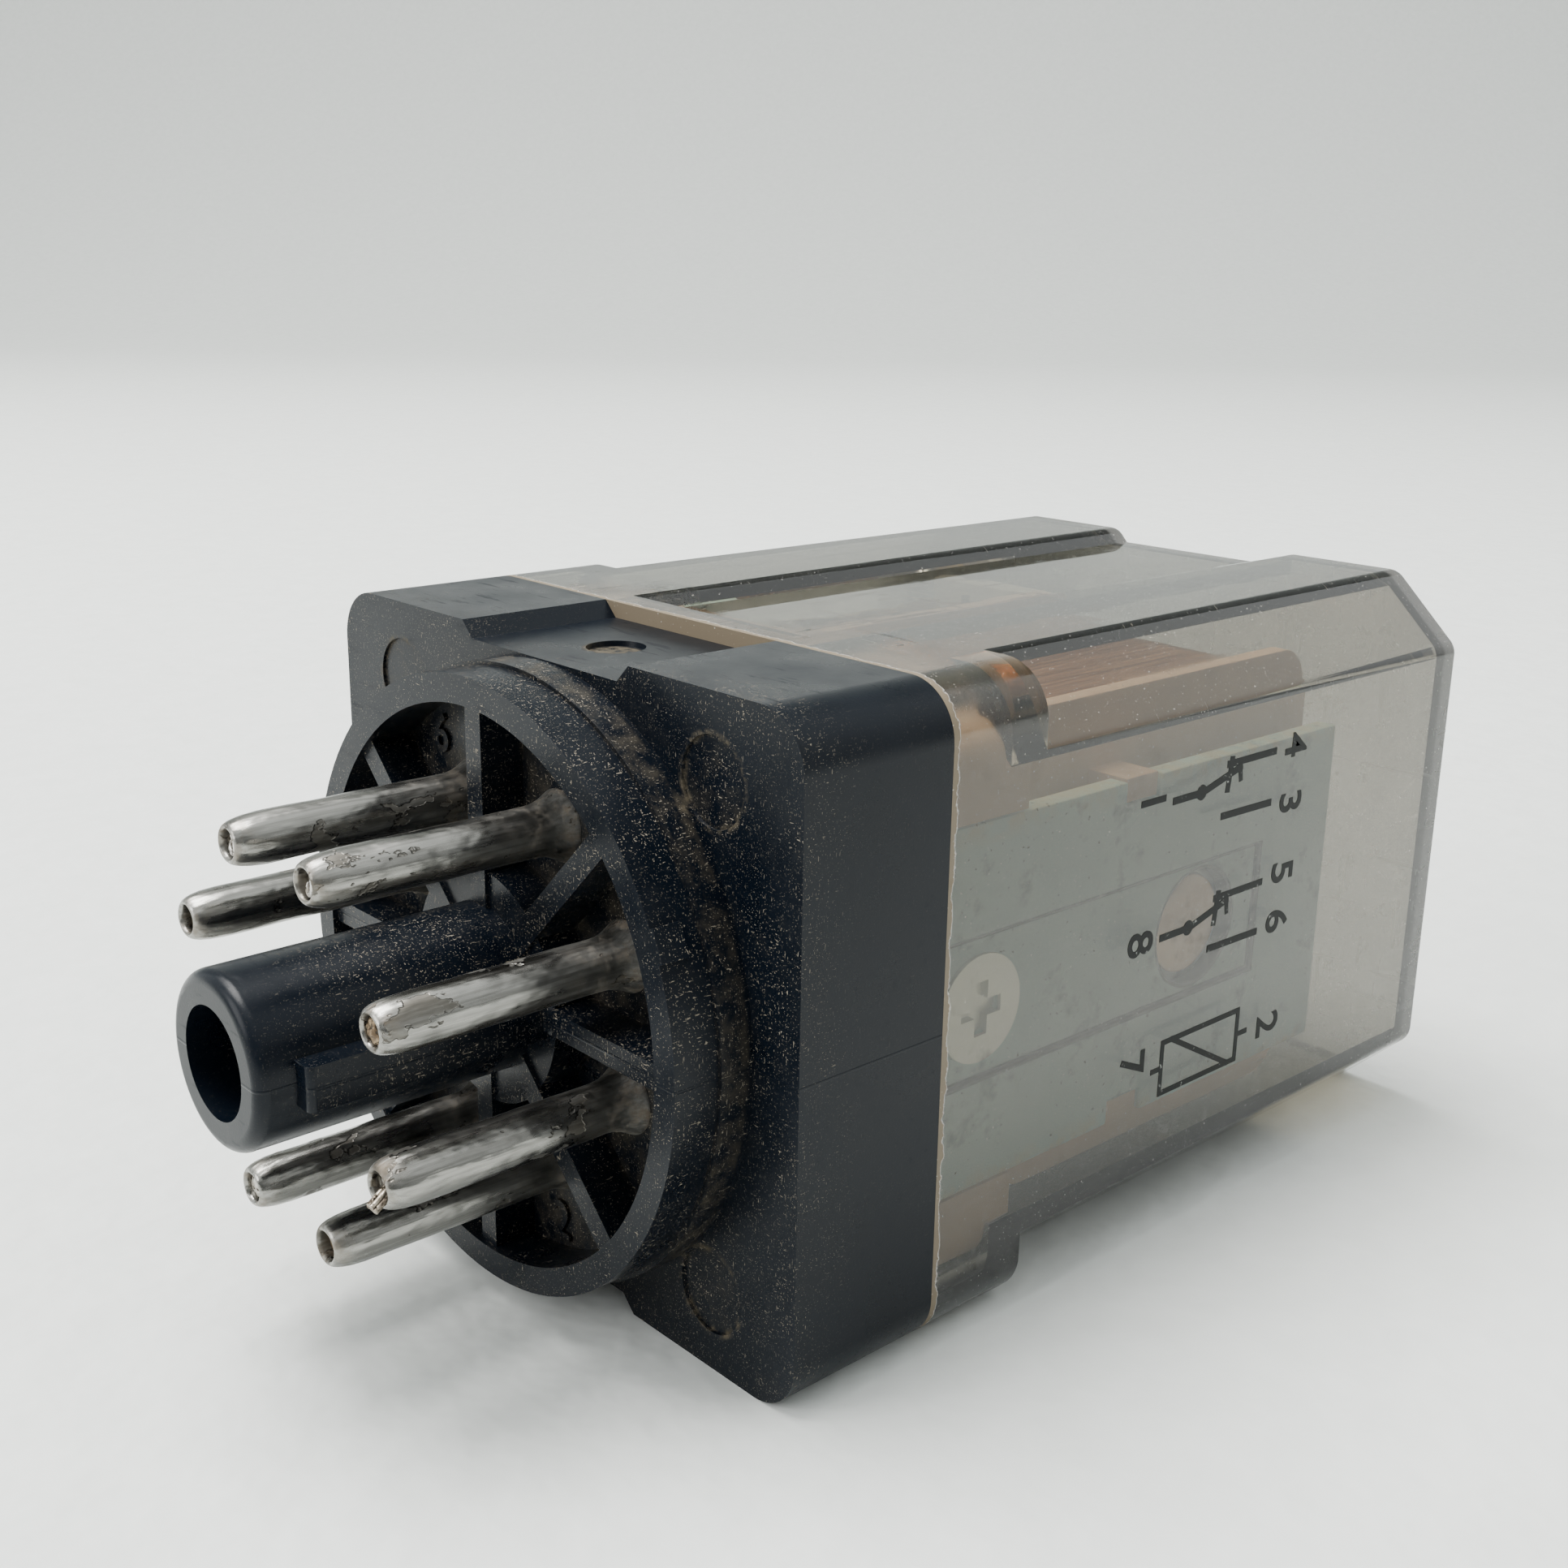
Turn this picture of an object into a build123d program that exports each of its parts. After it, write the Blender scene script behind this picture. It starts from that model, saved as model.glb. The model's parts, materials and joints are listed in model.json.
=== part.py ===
from build123d import *
from math import cos, radians, sin
import os

# Plug-in relay, lying on one side.  +X runs from the pins to the far end of the cover, the key of
# the locating spigot points along -Y, +Z is up.  The origin is the centre of the boss's ring face.

# ---- outside ----------------------------------------------------------------------------------
WIDTH = 35.0             # across Y, base and cover
HEIGHT = 31.1            # across Z, base and cover
BOSS_HEIGHT = 4.0        # ring face to the base block's front face
BASE_LENGTH = 8.4        # base block along X
COVER_LENGTH = 41.2      # cover along X
CORNER_R = 2.6           # long edges of the base block and of the cover's skirt
CHANNEL_HALF = 6.4       # half width of the channel along the top and bottom, at the surface
CHANNEL_SLOPE = 0.8      # sideways run of each sloped channel wall
CHANNEL_DEPTH = 0.8

# ---- base moulding ----------------------------------------------------------------------------
RING_STEP = 1.05         # block's top face to the ring's outside
COLLAR_LENGTH = 1.7      # thicker foot of the boss
COLLAR_STEP = 0.2
RING_WALL = 1.35
POCKET_DEPTH = 2.5
RIB = 1.2
RIB_SETBACK = 0.3        # rib faces behind the ring face
HUB_R = 5.6
HUB_SETBACK = 0.5
SPIGOT_R = 3.95
SPIGOT_LENGTH = 12.7
SPIGOT_EDGE = 0.6        # rounding of the spigot's end
SPIGOT_BORE_R = 2.5
SPIGOT_BORE_DEPTH = 11.0
KEY_WIDTH = 2.0
KEY_HEIGHT = 1.0         # key above the spigot
KEY_SETBACK = 1.7        # key's start behind the spigot's end
KEY_EDGE = 0.35          # rounding of the key's front edge
TAB_LENGTH = 1.5         # gate stub on the ring's outside
TAB_DEPTH = 1.4
TAB_PROUD = 0.2
TAB_ANGLE = 156.0
MARK_R = 2.0             # ejector marks on the block's front face
MARK_INSET_Y = 5.5
MARK_INSET_Z = 3.85
MARK_DEPTH = 0.15
GATE_R = 1.4             # round gate mark in the top channel
GATE_DEPTH = 0.25

# ---- pins and leads ---------------------------------------------------------------------------
PIN_COUNT = 8
PIN_CIRCLE_R = 8.725
PIN_R = 1.18
PIN_BORE_R = 0.88
PIN_TIP = 9.9            # pin tips in front of the ring face
PIN_TAPER = 1.0
PIN_TIP_R = 0.85
PIN_TIP_BORE_R = 0.62
FLARE_R = 1.65           # swaged foot on the pocket floor
FLARE_LENGTH = 1.2
PIN_FIT = 0.02           # pin in its moulded hole
LEAD_R = 0.4
LEAD_HOLE_R = 0.55
SOLDER_LENGTH = 0.9
LEAD_LEVEL = 1.3         # spacing of the layers the leads cross in

# ---- cover ------------------------------------------------------------------------------------
WALL = 1.5
END_WALL = 1.2
SKIRT_LENGTH = 6.0
LIP_LENGTH = 1.7         # full-height lip in front of the cover's channel
BEVEL_Y = 4.0            # corner cut of the cover along Y
BEVEL_Z = 3.8            # corner cut of the cover along Z

# ---- tray and front panel ---------------------------------------------------------------------
INSIDE_GAP = 0.15        # inner parts to the cover's wall
TRAY_DEPTH = 6.0
TRAY_FLOOR = 1.6
TRAY_RIM = 1.5
PANEL_T = 1.1
PANEL_INSET = 2.95       # panel's long edge below the cover's side flat
PANEL_END_ROOM = 10.6    # panel's far end to the cover's far end
STRIP_HALF = 3.45        # sunk strip along the panel's middle
STRIP_DEPTH = 0.25
STRIP_END_ROOM = 16.7
WINDOW_R = 3.0
SCREW_AXIS = 3.5         # screw axis behind the base block
SCREW_HEAD_R = 2.6
SCREW_HEAD_H = 0.2
SCREW_R = 1.3
BOSS_HALF = 2.9
BOSS_GAP = 1.4           # boss to the nearest lead's axis
CROSS_LENGTH = 2.6
CROSS_WIDTH = 0.8
NOTCH_HALF = 1.3         # lug notches in the panel's long edges
NOTCH_DEPTH = 1.2
NOTCH_GAP = 0.1
LUG_HALF = 1.2
LUG_AXIS = 8.4           # lugs behind the tray
LUG_SINK = 0.2

# ---- magnet -----------------------------------------------------------------------------------
YOKE_T = 1.4
YOKE_HALF = 6.5
COIL_START = 1.8         # tray to the bobbin flange
COIL_END_ROOM = 9.8      # bobbin flange to the cover's far end
FLANGE_T = 1.0
FLANGE_INSET = 1.4       # flange to the cover's channel floor
FLANGE_CORNER = 2.0
WINDING_INSET = 0.25    # winding below the flange's edge
WINDING_CORNER = 5.0
BARREL_WALL = 1.2
CORE_HALF = 3.5
CORE_SPIGOT_R = 2.6
CORE_SPIGOT_PROUD = 0.3
POLE_PROUD = 0.6
POST_HALF = 0.3          # coil terminal posts
POST_OUT = 1.6
POST_IN = 2.0
POST_INSET = 2.1

# ---- armature, card and contacts --------------------------------------------------------------
ARMATURE_T = 1.6
ARMATURE_ANGLE = 3.0     # swing from rest to the pole
HINGE_INSET = 0.5        # hinge line behind the tray
SEAT_GAP = 0.05          # armature to yoke and pole when shut
TAIL_GAP = 0.35          # armature's hinge end to the tray
ARMATURE_ROOM = 1.0      # armature to the normally open strips
CARD_T = 1.2
CARD_GAP = 0.8           # card beyond the bobbin flange
CARD_FOOT = 1.2          # card past the armature's inner face
CARD_TOP = 2.7           # card past the moving blades
CARD_SIDE_GAP = 0.75     # card's side below the cover's side flat
TONGUE_HALF = 2.0
TONGUE_OUT = 0.6
BLADE_T = 0.35
BLADE_WIDTH = 4.5
BLADE_PAST_CARD = 0.8
BLADE_INSET = 3.5        # pole's centre line inside the card's side
SLOT_SIDE = 0.2
SLOT_FACE = 0.15
ROOT_GAP = 0.1           # moving blade to its fixed root
STRIP_T = 0.5
STRIP_END_GAP = 1.1      # fixed strips short of the card
CONTACT_R = 1.6
CONTACT_H = 0.6
CONTACT_SHANK_R = 0.7
CONTACT_INSET = 2.0      # contact axis from the strip's end
CONTACT_GAP = 0.05       # closed contacts
WALL_ROOM = 2.9          # normally closed strips to the cover's wall
HOLDER_LENGTH = 5.8
HOLDER_EDGE = 1.2
TAIL = 0.4               # strip tails in front of the holder
ROOT_OUT = 0.8           # common strip past the holder
STRIP_FIT = 0.02

# ---- derived positions ------------------------------------------------------------------------
half_w, half_h = WIDTH / 2, HEIGHT / 2
base_back = BOSS_HEIGHT + BASE_LENGTH
cover_end = base_back + COVER_LENGTH
tray_back = base_back + TRAY_DEPTH
skirt_room = base_back + SKIRT_LENGTH - WALL          # far end of the wide room in the skirt
ring_r = half_h - RING_STEP
inner_y = half_w - WALL
inner_z = half_h - WALL - CHANNEL_DEPTH
side_flat, top_flat = half_h - BEVEL_Z, half_w - BEVEL_Y

panel_front = INSIDE_GAP - inner_y
panel_back = panel_front + PANEL_T
panel_half = side_flat - PANEL_INSET
panel_end = cover_end - PANEL_END_ROOM
strip_end = cover_end - STRIP_END_ROOM
screw_x = base_back + SCREW_AXIS
lug_x = tray_back + LUG_AXIS

yoke_back = panel_back + YOKE_T
coil_x0, coil_x1 = tray_back + COIL_START, cover_end - COIL_END_ROOM
coil_x = (coil_x0 + coil_x1) / 2
flange_x, flange_z = (coil_x1 - coil_x0) / 2, inner_z - FLANGE_INSET
winding_x, winding_z = flange_x - WINDING_INSET, flange_z - WINDING_INSET
barrel = CORE_HALF + BARREL_WALL

card_x0 = coil_x1 + CARD_GAP
card_x = card_x0 + CARD_T / 2
card_half = side_flat - CARD_SIDE_GAP
pole_z = card_half - BLADE_INSET
holder_back = tray_back + HOLDER_LENGTH
blade_root = holder_back + ROOT_OUT
blade_end = card_x0 + CARD_T + BLADE_PAST_CARD
strip_x1 = card_x0 - STRIP_END_GAP
contact_x = strip_x1 - CONTACT_INSET
hinge_x = tray_back + HINGE_INSET

swing = radians(ARMATURE_ANGLE)
blade_swing = swing * (card_x - hinge_x) / (card_x - blade_root)
closed_y1 = inner_y - WALL_ROOM                       # normally closed strip's outer face
blade_y = closed_y1 - STRIP_T - 2 * CONTACT_H - CONTACT_GAP - BLADE_T / 2
contact_travel = (contact_x - blade_root) * sin(blade_swing) + CONTACT_R * sin(blade_swing)
open_y1 = blade_y - BLADE_T / 2 - 2 * CONTACT_H - contact_travel - CONTACT_GAP
hinge_y = open_y1 - STRIP_T - ARMATURE_ROOM - ARMATURE_T - (card_x - hinge_x) * sin(swing)
seat_y = hinge_y - SEAT_GAP
flange_back = seat_y - POLE_PROUD


# ---- helpers ----------------------------------------------------------------------------------
def slab(x0, x1, y0, y1, z0, z1):
    return Pos((x0 + x1) / 2, (y0 + y1) / 2, (z0 + z1) / 2) * Box(x1 - x0, y1 - y0, z1 - z0)


def rod_x(r, x0, x1, y=0, z=0):
    return Pos((x0 + x1) / 2, y, z) * Rot(0, 90, 0) * Cylinder(r, x1 - x0)


def rod_y(r, y0, y1, x, z):
    return Pos(x, (y0 + y1) / 2, z) * Rot(90, 0, 0) * Cylinder(r, y1 - y0)


def prism_x(face, x0, x1):
    return extrude(Plane.YZ.offset(x0) * face, amount=x1 - x0)


def rounded_y(hx, hz, r, y0, y1):
    plane = Plane(origin=(coil_x, y1, 0), x_dir=(1, 0, 0), z_dir=(0, -1, 0))
    return extrude(plane * RectangleRounded(2 * hx, 2 * hz, r), amount=y1 - y0)


def wire(points, r):
    """A bent wire: straight rods with a ball at every bend."""
    solid = None
    for a, b in zip(points, points[1:]):
        start, run = Vector(*a), Vector(*b) - Vector(*a)
        rod = extrude(Plane(origin=start, z_dir=run) * Circle(r), amount=run.length)
        solid = rod if solid is None else solid + rod
    for p in points[1:-1]:
        solid += Pos(*p) * Sphere(r)
    return solid


def both_sides(part):
    return [part, mirror(part, about=Plane.XY)]


def pin_yz(n):
    """Pin n's place on the pin circle, numbered from the key."""
    step = 360 / PIN_COUNT
    angle = radians(-step / 2 - step * (n - 1))
    return -PIN_CIRCLE_R * cos(angle), PIN_CIRCLE_R * sin(angle)


def channel(x0, x1, depth=CHANNEL_DEPTH):
    """The two shallow channels with sloped walls, as bodies to cut away."""
    low = CHANNEL_HALF - CHANNEL_SLOPE
    points = [(-CHANNEL_HALF, half_h), (-low, half_h - depth), (low, half_h - depth),
              (CHANNEL_HALF, half_h)]
    top = prism_x(make_face(Polyline(*points, close=True)), x0, x1)
    return top + mirror(top, about=Plane.XY)


# ---- base and pins ----------------------------------------------------------------------------
def base():
    block = prism_x(RectangleRounded(WIDTH, HEIGHT, CORNER_R), BOSS_HEIGHT, base_back)
    block -= channel(BOSS_HEIGHT, base_back)
    boss = rod_x(ring_r, 0, BOSS_HEIGHT) + rod_x(ring_r + COLLAR_STEP, BOSS_HEIGHT - COLLAR_LENGTH, BOSS_HEIGHT)
    boss -= rod_x(ring_r - RING_WALL, 0, POCKET_DEPTH)
    part = block + boss + (ribs() - rod_x(HUB_R, 0, POCKET_DEPTH))
    tab = slab(0, TAB_DEPTH, ring_r - RING_WALL / 2, ring_r + TAB_PROUD, -TAB_LENGTH / 2, TAB_LENGTH / 2)
    part += Rot(TAB_ANGLE, 0, 0) * tab
    for n in range(1, PIN_COUNT + 1):
        part -= rod_x(PIN_R + PIN_FIT, 0, base_back, *pin_yz(n))
    for sy in (-1, 1):
        for sz in (-1, 1):
            mark = (sy * (half_w - MARK_INSET_Y), sz * (half_h - MARK_INSET_Z))
            part -= rod_x(MARK_R, BOSS_HEIGHT, BOSS_HEIGHT + MARK_DEPTH, *mark)
    floor = half_h - CHANNEL_DEPTH
    part -= Pos((BOSS_HEIGHT + base_back) / 2, 0, floor) * Cylinder(GATE_R, 2 * GATE_DEPTH)
    return part


def ribs():
    """Ribs across the boss between the pins, as deep as the pockets."""
    spokes = None
    for k in range(PIN_COUNT // 2):
        spoke = slab(RIB_SETBACK, POCKET_DEPTH, -ring_r, ring_r, -RIB / 2, RIB / 2)
        spoke = Rot(k * 360 / PIN_COUNT, 0, 0) * spoke
        spokes = spoke if spokes is None else spokes + spoke
    return spokes & rod_x(ring_r - RING_WALL, RIB_SETBACK, POCKET_DEPTH)


def spigot():
    """Hollow locating spigot with its key, standing on the hub in the middle of the boss."""
    body = rod_x(SPIGOT_R, -SPIGOT_LENGTH, POCKET_DEPTH)
    body = fillet(body.faces().sort_by(Axis.X)[0].edges(), SPIGOT_EDGE)
    key = slab(KEY_SETBACK - SPIGOT_LENGTH, POCKET_DEPTH, -SPIGOT_R - KEY_HEIGHT, -SPIGOT_BORE_R,
               -KEY_WIDTH / 2, KEY_WIDTH / 2)
    key = fillet(key.edges().filter_by(Axis.Z).group_by(Axis.X)[0].sort_by(Axis.Y)[0], KEY_EDGE)
    hub = rod_x(HUB_R, HUB_SETBACK, POCKET_DEPTH) + (ribs() & rod_x(HUB_R, 0, POCKET_DEPTH))
    return body + key + hub - rod_x(SPIGOT_BORE_R, -SPIGOT_LENGTH, SPIGOT_BORE_DEPTH - SPIGOT_LENGTH)


def pin(n):
    """Tubular pin: tapered open tip, straight shank and a swaged foot on the pocket floor."""
    neck = POCKET_DEPTH - FLARE_LENGTH
    outline = [(-PIN_TIP, PIN_TIP_BORE_R), (-PIN_TIP, PIN_TIP_R), (PIN_TAPER - PIN_TIP, PIN_R),
               (neck, PIN_R), (POCKET_DEPTH, FLARE_R), (POCKET_DEPTH, PIN_R), (base_back, PIN_R),
               (base_back, PIN_BORE_R), (PIN_TAPER - PIN_TIP, PIN_BORE_R)]
    profile = make_face(Polyline(*[(x, 0, r) for x, r in outline], close=True))
    y, z = pin_yz(n)
    return Pos(0, y, z) * revolve(profile, axis=Axis.X)


def solder():
    x0 = PIN_TAPER - PIN_TIP
    return [rod_x(PIN_BORE_R, x0, x0 + SOLDER_LENGTH, *pin_yz(n)) for n in range(1, PIN_COUNT + 1)]


def lead(n):
    """Wire from pin n's solder, across the tray in its own layer, to the tail it feeds."""
    y, z = pin_yz(n)
    side = 1 if z > 0 else -1
    tail_x = tray_back - TAIL
    routes = {
        "open": ([(open_y1 - STRIP_T / 2, side * pole_z)], 1, tail_x),
        "closed": ([(closed_y1 - STRIP_T / 2, side * pole_z)], 2, tail_x),
        "common": ([(blade_y - HOLDER_EDGE, side * (pole_z - BLADE_WIDTH / 2)),
                    (blade_y, side * pole_z)], 3, tail_x),
        "coil": ([(flange_back - FLANGE_T / 2, side * (flange_z - POST_INSET))], 2, coil_x0 - POST_OUT),
    }
    use = {1: "common", 8: "common", 3: "open", 6: "open", 4: "closed", 5: "closed", 2: "coil", 7: "coil"}
    stops, layer, end_x = routes[use[n]]
    level = base_back + TRAY_FLOOR - LEAD_LEVEL / 2 + LEAD_LEVEL * layer
    x0 = PIN_TAPER - PIN_TIP + SOLDER_LENGTH
    path = [(x0, y, z), (level, y, z)] + [(level, *s) for s in stops] + [(end_x, *stops[-1])]
    return wire(path, LEAD_R)


# ---- cover ------------------------------------------------------------------------------------
def cover_section(inset):
    """Eight-sided section of the cover, moved inwards by inset."""
    w, h = half_w - inset, half_h - inset
    slant = (BEVEL_Y ** 2 + BEVEL_Z ** 2) ** 0.5
    y = top_flat - inset * (slant - BEVEL_Y) / BEVEL_Z
    z = side_flat - inset * (slant - BEVEL_Z) / BEVEL_Y
    points = [(-y, h), (y, h), (w, z), (w, -z), (y, -h), (-y, -h), (-w, -z), (-w, z)]
    return make_face(Polyline(*points, close=True))


def cover():
    shell = prism_x(cover_section(0), base_back, cover_end)
    shell += prism_x(RectangleRounded(WIDTH, HEIGHT, CORNER_R), base_back, skirt_room + WALL)
    shell -= channel(base_back + LIP_LENGTH, cover_end)
    room = prism_x(cover_section(WALL), base_back, cover_end - END_WALL)
    room += prism_x(RectangleRounded(WIDTH - 2 * WALL, HEIGHT - 2 * WALL, CORNER_R - WALL / 2), base_back,
                    skirt_room)
    under = slab(base_back, cover_end, -CHANNEL_HALF - WALL / 2, CHANNEL_HALF + WALL / 2, inner_z, half_h)
    for side in both_sides(under):
        room -= side
    return shell - room


# ---- tray and front panel ---------------------------------------------------------------------
def tray():
    """Insulating tray on the back of the base: floor, rim and the boss the panel screw bites in."""
    y, z = inner_y - INSIDE_GAP, inner_z - INSIDE_GAP
    part = prism_x(cover_section(WALL + INSIDE_GAP), base_back, tray_back)
    part &= slab(base_back, tray_back, -y, y, -z, z)
    part += prism_x(RectangleRounded(2 * y, 2 * z, CORNER_R - WALL / 2), base_back, skirt_room - INSIDE_GAP)
    part -= slab(base_back + TRAY_FLOOR, tray_back, panel_back + TRAY_RIM, y - TRAY_RIM,
                 TRAY_RIM - z, z - TRAY_RIM)
    boss_y = pin_yz(1)[0] - BOSS_GAP
    part += slab(base_back, tray_back, panel_back, boss_y, -BOSS_HALF, BOSS_HALF)
    part -= slab(base_back, tray_back, -y, panel_back, -panel_half - NOTCH_GAP, panel_half + NOTCH_GAP)
    part -= rod_y(SCREW_R, panel_back, boss_y - BOSS_GAP / 2, screw_x, 0)
    for n in range(1, PIN_COUNT + 1):
        part -= rod_x(LEAD_HOLE_R, base_back, base_back + TRAY_FLOOR, *pin_yz(n))
    return part


def front_panel():
    part = slab(base_back, panel_end, panel_front, panel_back, -panel_half, panel_half)
    part -= slab(base_back, strip_end, panel_front, panel_front + STRIP_DEPTH, -STRIP_HALF, STRIP_HALF)
    part -= rod_y(WINDOW_R, panel_front, panel_back, coil_x, 0)
    part -= rod_y(SCREW_R, panel_front, panel_back, screw_x, 0)
    notch = slab(lug_x - NOTCH_HALF, lug_x + NOTCH_HALF, panel_front, panel_back,
                 panel_half - NOTCH_DEPTH, panel_half)
    for side in both_sides(notch):
        part -= side
    return part


def panel_screw():
    """Cross-head screw with a thin flat head in the panel's sunk strip."""
    head_y = panel_front + STRIP_DEPTH
    boss_y = pin_yz(1)[0] - BOSS_GAP
    part = rod_y(SCREW_HEAD_R, head_y - SCREW_HEAD_H, head_y, screw_x, 0)
    part += rod_y(SCREW_R, head_y, boss_y - BOSS_GAP, screw_x, 0)
    for hx, hz in ((CROSS_LENGTH / 2, CROSS_WIDTH / 2), (CROSS_WIDTH / 2, CROSS_LENGTH / 2)):
        part -= slab(screw_x - hx, screw_x + hx, panel_front, head_y + STRIP_DEPTH, -hz, hz)
    return part


# ---- magnet -----------------------------------------------------------------------------------
def yoke():
    """L-shaped: back plate behind the panel, leg along the tray to the hinge edge."""
    plate = slab(tray_back, coil_x1, panel_back, yoke_back, -YOKE_HALF, YOKE_HALF)
    leg = slab(tray_back, tray_back + YOKE_T, panel_back, seat_y, -YOKE_HALF, YOKE_HALF)
    return plate + leg - rod_y(CORE_SPIGOT_R, panel_back, yoke_back, coil_x, 0)


def core():
    bar = slab(coil_x - CORE_HALF, coil_x + CORE_HALF, yoke_back, seat_y, -CORE_HALF, CORE_HALF)
    return bar + rod_y(CORE_SPIGOT_R, panel_back - CORE_SPIGOT_PROUD, yoke_back, coil_x, 0)


def bobbin():
    part = rounded_y(barrel, barrel, BARREL_WALL, yoke_back, flange_back)
    part += rounded_y(flange_x, flange_z, FLANGE_CORNER, yoke_back, yoke_back + FLANGE_T)
    part += rounded_y(flange_x, flange_z, FLANGE_CORNER, flange_back - FLANGE_T, flange_back)
    part -= slab(coil_x - CORE_HALF, coil_x + CORE_HALF, yoke_back, flange_back, -CORE_HALF, CORE_HALF)
    lug_z = panel_half - NOTCH_DEPTH + NOTCH_GAP
    lug = slab(lug_x - LUG_HALF, lug_x + LUG_HALF, panel_front + LUG_SINK, yoke_back + FLANGE_T,
               lug_z, lug_z + LUG_HALF)
    for side in both_sides(lug):
        part += side
    for post in coil_posts():
        part -= post
    return part


def winding():
    y0, y1 = yoke_back + FLANGE_T, flange_back - FLANGE_T
    part = rounded_y(winding_x, winding_z, WINDING_CORNER, y0, y1)
    return part - rounded_y(barrel, barrel, BARREL_WALL, y0, y1)


def coil_posts():
    y = flange_back - FLANGE_T / 2
    z = flange_z - POST_INSET
    post = slab(coil_x0 - POST_OUT, coil_x0 + POST_IN, y - POST_HALF, y + POST_HALF,
                z - POST_HALF, z + POST_HALF)
    return both_sides(post)


# ---- armature and card ------------------------------------------------------------------------
def at_rest(part):
    """Swing a part drawn with the armature shut out to its rest position."""
    return Pos(hinge_x, hinge_y, 0) * Rot(0, 0, ARMATURE_ANGLE) * Pos(-hinge_x, -hinge_y, 0) * part


def tongue():
    return slab(card_x0, card_x0 + CARD_T + TONGUE_OUT, hinge_y, hinge_y + ARMATURE_T, -TONGUE_HALF, TONGUE_HALF)


def armature():
    plate = slab(tray_back + TAIL_GAP, card_x0, hinge_y, hinge_y + ARMATURE_T, -YOKE_HALF, YOKE_HALF)
    return at_rest(plate + tongue())


def pusher_card():
    """Insulating card on the armature's tongue, with one slot for each moving blade."""
    shut_y = blade_y - (card_x - hinge_x) * sin(swing)
    part = slab(card_x0, card_x0 + CARD_T, hinge_y - CARD_FOOT, shut_y + CARD_TOP, -card_half, card_half)
    part -= tongue()
    side, face = BLADE_WIDTH / 2 + SLOT_SIDE, BLADE_T / 2 + SLOT_FACE
    slot = slab(card_x0, card_x0 + CARD_T, shut_y - face, shut_y + face, pole_z - side, pole_z + side)
    for cut in both_sides(slot):
        part -= cut
    return at_rest(part)


# ---- contacts ---------------------------------------------------------------------------------
def strip(x0, x1, y0, y1, side, holes=()):
    part = slab(x0, x1, y0, y1, side * pole_z - BLADE_WIDTH / 2, side * pole_z + BLADE_WIDTH / 2)
    for x in holes:
        part -= rod_y(CONTACT_SHANK_R, y0, y1, x, side * pole_z)
    return part


def fixed_strip(y1, side):
    return strip(tray_back - TAIL, strip_x1, y1 - STRIP_T, y1, side, [contact_x])


def common_strip(side):
    return strip(tray_back - TAIL, blade_root - ROOT_GAP / 2, blade_y - STRIP_T / 2, blade_y + STRIP_T / 2, side)


def moving_blade(side):
    return strip(blade_root + ROOT_GAP / 2, blade_end, blade_y - BLADE_T / 2, blade_y + BLADE_T / 2, side,
                 [contact_x])


def moving_contact(side):
    """Double-headed contact rivet through the moving blade."""
    reach = BLADE_T / 2 + CONTACT_H
    z = side * pole_z
    part = rod_y(CONTACT_SHANK_R, blade_y - reach, blade_y + reach, contact_x, z)
    part += rod_y(CONTACT_R, blade_y - reach, blade_y - BLADE_T / 2, contact_x, z)
    return part + rod_y(CONTACT_R, blade_y + BLADE_T / 2, blade_y + reach, contact_x, z)


def fixed_contacts():
    """Contact rivets in the fixed strips, heads towards the moving blades."""
    rivets = []
    for z in (-pole_z, pole_z):
        rivets.append(rod_y(CONTACT_SHANK_R, open_y1 - STRIP_T, open_y1, contact_x, z)
                      + rod_y(CONTACT_R, open_y1, open_y1 + CONTACT_H, contact_x, z))
        closed_y0 = closed_y1 - STRIP_T
        rivets.append(rod_y(CONTACT_SHANK_R, closed_y0, closed_y1, contact_x, z)
                      + rod_y(CONTACT_R, closed_y0 - CONTACT_H, closed_y0, contact_x, z))
    return rivets


def contact_holder():
    """Moulded block on the tray that grips the six strips."""
    y0, y1 = open_y1 - STRIP_T - HOLDER_EDGE, closed_y1 + HOLDER_EDGE
    part = slab(tray_back, holder_back, y0, y1, -card_half, card_half)
    for side in (-1, 1):
        z0 = side * pole_z - BLADE_WIDTH / 2 - STRIP_FIT
        z1 = side * pole_z + BLADE_WIDTH / 2 + STRIP_FIT
        for top in (open_y1, blade_y + STRIP_T / 2, closed_y1):
            part -= slab(tray_back, holder_back, top - STRIP_T - STRIP_FIT, top + STRIP_FIT, z0, z1)
    return part


# ---- output -----------------------------------------------------------------------------------
nodes = {
    "base": base(), "spigot": spigot(), "cover": cover(), "solder_joints": Compound(children=solder()),
    "tray": tray(), "front_panel": front_panel(), "panel_screw": panel_screw(),
    "yoke": yoke(), "core": core(), "bobbin": bobbin(), "winding": winding(),
    "coil_posts": Compound(children=coil_posts()), "armature": armature(), "pusher_card": pusher_card(),
    "contact_holder": contact_holder(), "fixed_contacts": Compound(children=fixed_contacts()),
}
for n in range(1, PIN_COUNT + 1):
    nodes[f"pin_{n}"] = pin(n)
    nodes[f"lead_{n}"] = lead(n)
for name, side in (("a", -1), ("b", 1)):
    nodes[f"open_strip_{name}"] = fixed_strip(open_y1, side)
    nodes[f"closed_strip_{name}"] = fixed_strip(closed_y1, side)
    nodes[f"common_strip_{name}"] = common_strip(side)
    nodes[f"moving_blade_{name}"] = moving_blade(side)
    nodes[f"moving_contact_{name}"] = moving_contact(side)

os.makedirs("parts", exist_ok=True)
for name, part in nodes.items():
    export_step(part, f"parts/{name}.step")
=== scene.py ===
import bpy
import bmesh
import json
import math
import random
from mathutils import Matrix, Vector, noise

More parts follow.
